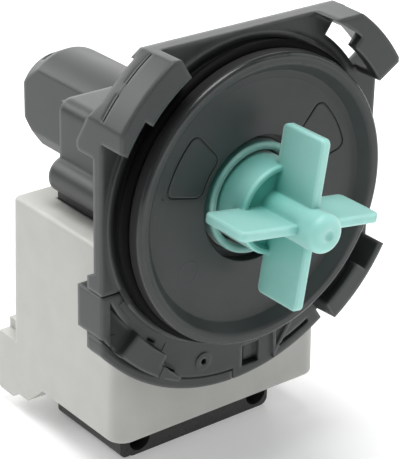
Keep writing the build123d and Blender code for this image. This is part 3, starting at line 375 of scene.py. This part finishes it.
def make_materials():
    """One material for each material slot of the record."""
    return {
        # Satin grey with cloudy flow; the paler corners are a painted highlight
        "flange_plastic": moulded_plastic(
            "glass-filled polypropylene, moulded", *FLANGE_GREY, round_mm=1.8, corner_highlight="585c5b"),
        # Deep black and dull, with hardly a line of light
        "seal_rubber": seal_rubber(),
        # Pale and milky on faces, edges paler by a painted highlight, and painted shade turns the roots of
        # the blades deep turquoise
        "impeller_plastic": impeller_polypropylene(
            "turquoise polypropylene, moulded", "a3e4db", "abe9e0", "3fa396"),
        # Smooth and slightly grey, like eggshell, with soft corners made paler by a painted highlight
        "white_plastic": moulded_plastic(
            "white polybutylene, moulded", *HOUSING_WHITE, round_mm=1.5, corner_highlight="c7c8c3"),
        # Nearly black and half glossy, with the sheets' edges as fine lines in it
        "core_lacquer": lacquered_sheets(),
        # Bright and cool, with the soft sheen that a fine grinding wheel leaves
        "shaft_steel": metal("stainless steel, ground", "a0a1a3", "b0b1b3", 0.4, 0.2),
        # Charcoal ceramic with a dry, slightly sparkling skin
        "magnet_ferrite": moulded_plastic(
            "hard ferrite, sintered and ground", "3a3a3c", "444446", 0.55, 0.2, 0.01),
        # Even black with a low gloss
        "rotor_plastic": moulded_plastic(
            "black polyamide, moulded", "1f2020", "262727", 0.45, 0.4, 0.01),
        # Dark grey with a greasy half gloss
        "bearing_carbon": moulded_plastic(
            "carbon graphite, machined", "2c2d2f", "37383a", 0.5, 0.15, 0.006),
        # Warm ivory that is a little waxy
        "former_plastic": moulded_plastic(
            "natural polyamide, moulded", "cdc6b4", "d6cfbe", 0.45, 0.4, 0.01),
        # Red brown lacquer over bright copper, rippled by the turns
        "winding_copper": metal("enamelled copper wire, wound", "9c4d23", "b9622f", 0.32, 0.35),
        # Pale amber film with a clear gloss
        "cutout_sleeve": moulded_plastic(
            "polyester film sleeve", "c2bb9c", "ccc6a8", 0.3, 0.8, 0.004),
        # Greyish tin with the brass warming it from below
        "tab_brass": metal("brass, tin plated", "b7b2a4", "c6c2b6", 0.3, 0.3),
    }


def shade_rim_wall(material):
    """Paint the disc's outer wall before the seal black as shade, and give the rounding before it more
    gloss.
    """
    tree, shader = material.node_tree, shader_of(material)
    place = tree.nodes["Texture Coordinate"].outputs["Object"]
    back = add(tree, "ShaderNodeSeparateXYZ", links={"Vector": place}).outputs["Y"]
    flat_place = add(tree, "ShaderNodeVectorMath", {"operation": "MULTIPLY", 1: (1, 0, 1)}, {0: place})
    reach = add(tree, "ShaderNodeVectorMath", {"operation": "LENGTH"}, {0: flat_place.outputs[0]})
    radius = reach.outputs["Value"]
    outer = {"From Min": SHADE_R[0] * MM, "From Max": SHADE_R[1] * MM}
    outside = add(tree, "ShaderNodeMapRange", outer, {"Value": radius})
    rear = {"From Min": SHADE_Y[0] * MM, "From Max": SHADE_Y[1] * MM}
    behind = add(tree, "ShaderNodeMapRange", rear, {"Value": back})
    both = {0: outside.outputs[0], 1: behind.outputs[0]}
    wall = add(tree, "ShaderNodeMath", {"operation": "MULTIPLY"}, both).outputs[0]
    # The wall is painted black as shade
    paint = shader.inputs["Base Color"].links[0].from_socket
    black = {"data_type": "RGBA", MIX_B: colour(WALL_SHADE)}
    mixed = add(tree, "ShaderNodeMix", black, {0: wall, MIX_A: paint})
    tree.links.new(mixed.outputs[MIX_OUT], shader.inputs["Base Color"])
    # The rounding keeps a share of its roughness and takes a line of light, and the wall takes none
    rim = {"From Min": GLOSSY_R[0] * MM, "From Max": GLOSSY_R[1] * MM, "To Min": 1.0, "To Max": GLOSSY_SHARE}
    share = add(tree, "ShaderNodeMapRange", rim, {"Value": radius})
    both = {0: shader.inputs["Roughness"].links[0].from_socket, 1: share.outputs["Result"]}
    glossy = add(tree, "ShaderNodeMath", {"operation": "MULTIPLY"}, both)
    dull = add(tree, "ShaderNodeMath", {"operation": "MULTIPLY", 1: SHADE_ROUGH}, {0: wall})
    both = {0: glossy.outputs[0], 1: dull.outputs[0]}
    rough = add(tree, "ShaderNodeMath", {"operation": "MAXIMUM"}, both)
    tree.links.new(rough.outputs[0], shader.inputs["Roughness"])


def dress_nodes(materials):
    """Give every CAD node the material of its slot."""
    slots = {part["node"]: part["material_slot"] for part in frame["record"]["subparts"]}
    # Charcoal and a little darker than the flange, with a thin ring, a round mark and a dot; paler corners
    # as a painted highlight, and the outer wall painted black as shade
    disc = moulded_plastic(
        "glass-filled polypropylene, moulded, with pin marks", *DISC_GREY,
        round_mm=0.6, corner_highlight="4a4e4d", marks=DISC_MARKS)
    shade_rim_wall(disc)
    # The same white as the housing, without softened corners, so that no line shows where they meet
    socket = moulded_plastic("white polybutylene, moulded thin", *HOUSING_WHITE)
    # The impeller's plastic made greyer and darker, as painted shade of the recess it sits in
    carrier = impeller_polypropylene(
        "turquoise polypropylene, moulded, in painted shade", "8fc0b8", "97c8c0", "2f7f75")
    special = {"chamber_disc": disc, "plug_socket": socket, "bearing_carrier": carrier}
    for name, node in frame["nodes"].items():
        node.data.materials.clear()
        node.data.materials.append(special.get(name) or materials[slots[name]])


# Pieces that only show


def new_piece(name, mesh, material, body):
    """Put a mesh into the scene as a piece that rides on a body."""
    piece = bpy.data.objects.new(name, mesh)
    bpy.context.scene.collection.objects.link(piece)
    mesh.materials.clear()
    mesh.materials.append(material)
    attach(piece, body)


def arc_strip(shape, inner, outer, angles, front, back, pitch_deg=1.0):
    """Add a bent bar round the axis to a bmesh; sizes in mm, angles in degrees."""
    start, end = angles
    count = max(1, round((end - start) / pitch_deg))
    rings = []
    for step in range(count + 1):
        angle = math.radians(start + (end - start) * step / count)
        x, z = math.cos(angle) * MM, math.sin(angle) * MM
        corners = ((inner, front), (outer, front), (outer, back), (inner, back))
        rings.append([shape.verts.new((r * x, y * MM, r * z)) for r, y in corners])
    for ring, after in zip(rings, rings[1:]):
        for side in range(4):
            nxt = (side + 1) % 4
            shape.faces.new((ring[side], ring[nxt], after[nxt], after[side]))
    shape.faces.new(rings[0][::-1])
    shape.faces.new(rings[-1])


def bar(shape, low, high):
    """Add a straight bar between two corners in mm to a bmesh."""
    made = bmesh.ops.create_cube(shape, size=1.0)["verts"]
    for vert in made:
        vert.co = [(a + (b - a) * (part + 0.5)) * MM for a, b, part in zip(low, high, vert.co)]


def finished_mesh(name, shape):
    """Mesh of a bmesh with its faces pointing outwards."""
    bmesh.ops.recalc_face_normals(shape, faces=shape.faces)
    mesh = bpy.data.meshes.new(name)
    shape.to_mesh(mesh)
    shape.free()
    return mesh


def add_slot_webs(plastic):
    """Webs deep in the slots round the locking tongue, so that no light shows through them."""
    shape = bmesh.new()
    arc_strip(
        shape, TONGUE_OUT_R + WEB_GAP, TONGUE_OUT_R + SLOT_W, WEB_ANGLES, WEB_FRONT, PLATE_BACK)
    low = (-GRIP_LEFT, WEB_FRONT, GRIP_LOW_Z - SLOT_W)
    high = (-GRIP_LEFT + WEB_REACH, SKIRT_BACK, GRIP_LOW_Z - WEB_GAP)
    bar(shape, low, high)
    new_piece("slot_webs", finished_mesh("slot_webs", shape), plastic, "pump")


def add_slot_skins(plastic):
    """Skins over the tongue's inner slot and root, where the photograph shows no gap."""
    shape = bmesh.new()
    plate = (FLANGE_FRONT - SKIN_T, FLANGE_FRONT - SKIN_GAP)
    arc_strip(shape, STEP_OUT_R, TONGUE_IN_R + SKIN_LAP, SKIN_ANGLES, *plate)
    arc_strip(shape, STEP_OUT_R, TAIL_IN_R, ROOT_ANGLES, *plate)
    tail = FLANGE_FRONT - RAMP_RISE
    arc_strip(
        shape, TAIL_IN_R + TAIL_INSET, TONGUE_OUT_R - TAIL_INSET, TAIL_ANGLES,
        tail - SKIN_T, tail - SKIN_GAP)
    step = [FLANGE_FRONT - STEP_H + shift for shift in STEP_SKIN]
    arc_strip(shape, STEP_IN_R, STEP_OUT_R, STEP_ANGLES, *step)
    new_piece("slot_skins", finished_mesh("slot_skins", shape), plastic, "pump")


def add_mark_fills(plastic):
    """Fills that leave the grooves on the upper left hook as narrow, shallow lines."""
    shape = bmesh.new()
    inner, outer = (MARK_R + shift for shift in FILL_R)
    front, back = (MARK_FRONT + shift for shift in FILL_Y)
    for angles in MARK_ANGLES:
        arc_strip(shape, inner, outer, angles, front, back)
    mesh = finished_mesh("hook_mark_fills", shape)
    new_piece("hook_mark_fills", mesh, plastic, "pump")


def add_yoke_side(lacquer):
    """Dark strip outside the yoke's left side, where the housing's wall hides the yoke itself."""
    shape = bmesh.new()
    bar(shape, (-YOKE_LEFT, CORE_FRONT, YOKE_LOW), (-YOKE_IN, YOKE_BACK, YOKE_TOP))
    left, low = (NEAR - YOKE_LEFT) * MM, (NEAR + YOKE_LOW) * MM
    corner = [e for e in shape.edges if all(v.co.x < left and v.co.z < low for v in e.verts)]
    bmesh.ops.bevel(
        shape, geom=corner, offset=YOKE_ROUND * MM, segments=YOKE_ROUND_STEPS, profile=0.5,
        affect="EDGES")
    new_piece("yoke_side", finished_mesh("yoke_side", shape), lacquer, "pump")


def screw_tree(material):
    """Node tree: two pan head screws with a cross recess, a spacing apart along X."""
    tree = bpy.data.node_groups.new("hood screws", "GeometryNodeTree")
    tree.interface.new_socket("Geometry", in_out="OUTPUT", socket_type="NodeSocketGeometry")
    for label in SCREW_SIZES_MM:
        tree.interface.new_socket(label, in_out="INPUT", socket_type="NodeSocketFloat")
    given = add(tree, "NodeGroupInput").outputs
    # A squashed ball, half of it hidden in the boss, so that the head is closed all round
    ball = add(tree, "GeometryNodeMeshUVSphere", {"Segments": 40, "Rings": 20, "Radius": 1.0})
    smooth = add(tree, "GeometryNodeSetShadeSmooth", {}, {"Geometry": ball.outputs[0]})
    spans = {"X": given["head radius"], "Y": given["head radius"], "Z": given["head height"]}
    size = add(tree, "ShaderNodeCombineXYZ", {}, spans).outputs[0]
    squashed = {"Geometry": smooth.outputs[0], "Scale": size}
    head = add(tree, "GeometryNodeTransform", {}, squashed)
    # A cross recess, cut by two blades that stand across each other at the top of the head
    cut = add(tree, "GeometryNodeMeshBoolean", {"operation": "DIFFERENCE"}, {"Mesh 1": head.outputs[0]})
    top = add(tree, "ShaderNodeCombineXYZ", {}, {"Z": given["head height"]}).outputs[0]
    for first, second in (("recess length", "recess width"), ("recess width", "recess length")):
        spans = {"X": given[first], "Y": given[second], "Z": given["recess depth"]}
        size = add(tree, "ShaderNodeCombineXYZ", {}, spans).outputs[0]
        blade = add(tree, "GeometryNodeMeshCube", {}, {"Size": size}).outputs[0]
        raised = add(tree, "GeometryNodeTransform", {}, {"Geometry": blade, "Translation": top})
        tree.links.new(raised.outputs[0], cut.inputs["Mesh 2"])
    # Screws look to the rear of the pump
    to_rear = {"Rotation": (math.radians(-90), 0, 0)}
    turned = add(tree, "GeometryNodeTransform", to_rear, {"Geometry": cut.outputs[0]})
    step = add(tree, "ShaderNodeCombineXYZ", {}, {"X": given["spacing"]}).outputs[0]
    bosses = {"Count": 2, "Start Location": SCREW_START}
    line = add(tree, "GeometryNodeMeshLine", bosses, {"Offset": step})
    placed = {"Points": line.outputs[0], "Instance": turned.outputs[0]}
    pair = add(tree, "GeometryNodeInstanceOnPoints", {}, placed)
    real = add(tree, "GeometryNodeRealizeInstances", {}, {"Geometry": pair.outputs[0]})
    steel = {"Material": material}
    coated = add(tree, "GeometryNodeSetMaterial", steel, {"Geometry": real.outputs[0]})
    add(tree, "NodeGroupOutput", {}, {"Geometry": coated.outputs[0]})
    return tree


def add_screws(steel):
    """Two screws in the hood's bosses, made by a node tree and kept as a plain mesh."""
    tree = screw_tree(steel)
    holder = bpy.data.objects.new("screw maker", bpy.data.meshes.new("screw maker"))
    bpy.context.scene.collection.objects.link(holder)
    modifier = holder.modifiers.new("hood screws", "NODES")
    modifier.node_group = tree
    for item in tree.interface.items_tree:
        if item.in_out == "INPUT":
            modifier[item.identifier] = SCREW_SIZES_MM[item.name] * MM
    graph = bpy.context.evaluated_depsgraph_get()
    mesh = bpy.data.meshes.new_from_object(holder.evaluated_get(graph))
    mesh.name = "hood_screws"
    bpy.data.objects.remove(holder)
    new_piece("hood_screws", mesh, steel, "pump")


# Stage, light and camera


def add_floor():
    """Plain pale floor under the pump, without gloss, so that only a soft shadow shows on it."""
    low = cad_box[0][2] - FLOOR_DROP
    half = FLOOR_HALF
    mesh = bpy.data.meshes.new("floor")
    corners = [(-half, -half, low), (half, -half, low), (half, half, low), (-half, half, low)]
    mesh.from_pydata(corners, [], [(0, 1, 2, 3)])
    floor = bpy.data.objects.new("floor", mesh)
    bpy.context.scene.collection.objects.link(floor)
    material, _, _, shader = start_material("matt white paper, lit a little from below")
    shader.inputs["Base Color"].default_value = colour("f4f4f4")
    shader.inputs["Roughness"].default_value = 0.9
    shader.inputs["Emission Color"].default_value = colour("ffffff")
    shader.inputs["Emission Strength"].default_value = FLOOR_GLOW
    mesh.materials.append(material)


def add_light(name, place, size, power):
    """Soft box of a width and height in metres that looks at the pump."""
    data = bpy.data.lights.new(name, "AREA")
    data.shape = "RECTANGLE"
    data.size, data.size_y = size
    data.energy = power
    lamp = bpy.data.objects.new(name, data)
    lamp.location = place
    aim = Vector(PUMP_MIDDLE) - Vector(place)
    lamp.rotation_euler = aim.to_track_quat("-Z", "Y").to_euler()
    bpy.context.scene.collection.objects.link(lamp)


def add_lights():
    """Dim white room with soft boxes overhead, above in front, behind, behind left and right."""
    world = bpy.data.worlds.new("studio")
    world.use_nodes = True
    background = world.node_tree.nodes["Background"]
    background.inputs["Color"].default_value = colour("ffffff")
    background.inputs["Strength"].default_value = ROOM_LIGHT
    scene = bpy.context.scene
    scene.world = world
    scene.view_settings.view_transform = "Standard"
    for name, place, size, power in LIGHTS:
        add_light(name, place, size, power)


def add_camera():
    """Camera at the photograph's viewing angle."""
    data = bpy.data.cameras.new("camera")
    data.lens = LENS_MM
    data.sensor_width = SENSOR_MM
    data.sensor_fit = "AUTO"
    data.clip_start = CLIP_START
    camera = bpy.data.objects.new("camera", data)
    turn = Matrix.Rotation(math.radians(AZIMUTH_DEG), 4, "Z")
    tilt = Matrix.Rotation(math.radians(90 - ELEVATION_DEG), 4, "X")
    roll = Matrix.Rotation(math.radians(ROLL_DEG), 4, "Z")
    camera.matrix_world = Matrix.Translation(EYE) @ turn @ tilt @ roll
    bpy.context.scene.collection.objects.link(camera)
    bpy.context.scene.camera = camera


add_camera()
add_floor()
add_lights()
materials = make_materials()
dress_nodes(materials)
# The same grey as the flange, without softened corners, because thin skins have none to show
skin = moulded_plastic("glass-filled polypropylene, moulded thin", *FLANGE_GREY)
add_slot_webs(skin)
add_slot_skins(skin)
add_mark_fills(skin)
add_screws(materials["shaft_steel"])
add_yoke_side(materials["core_lacquer"])
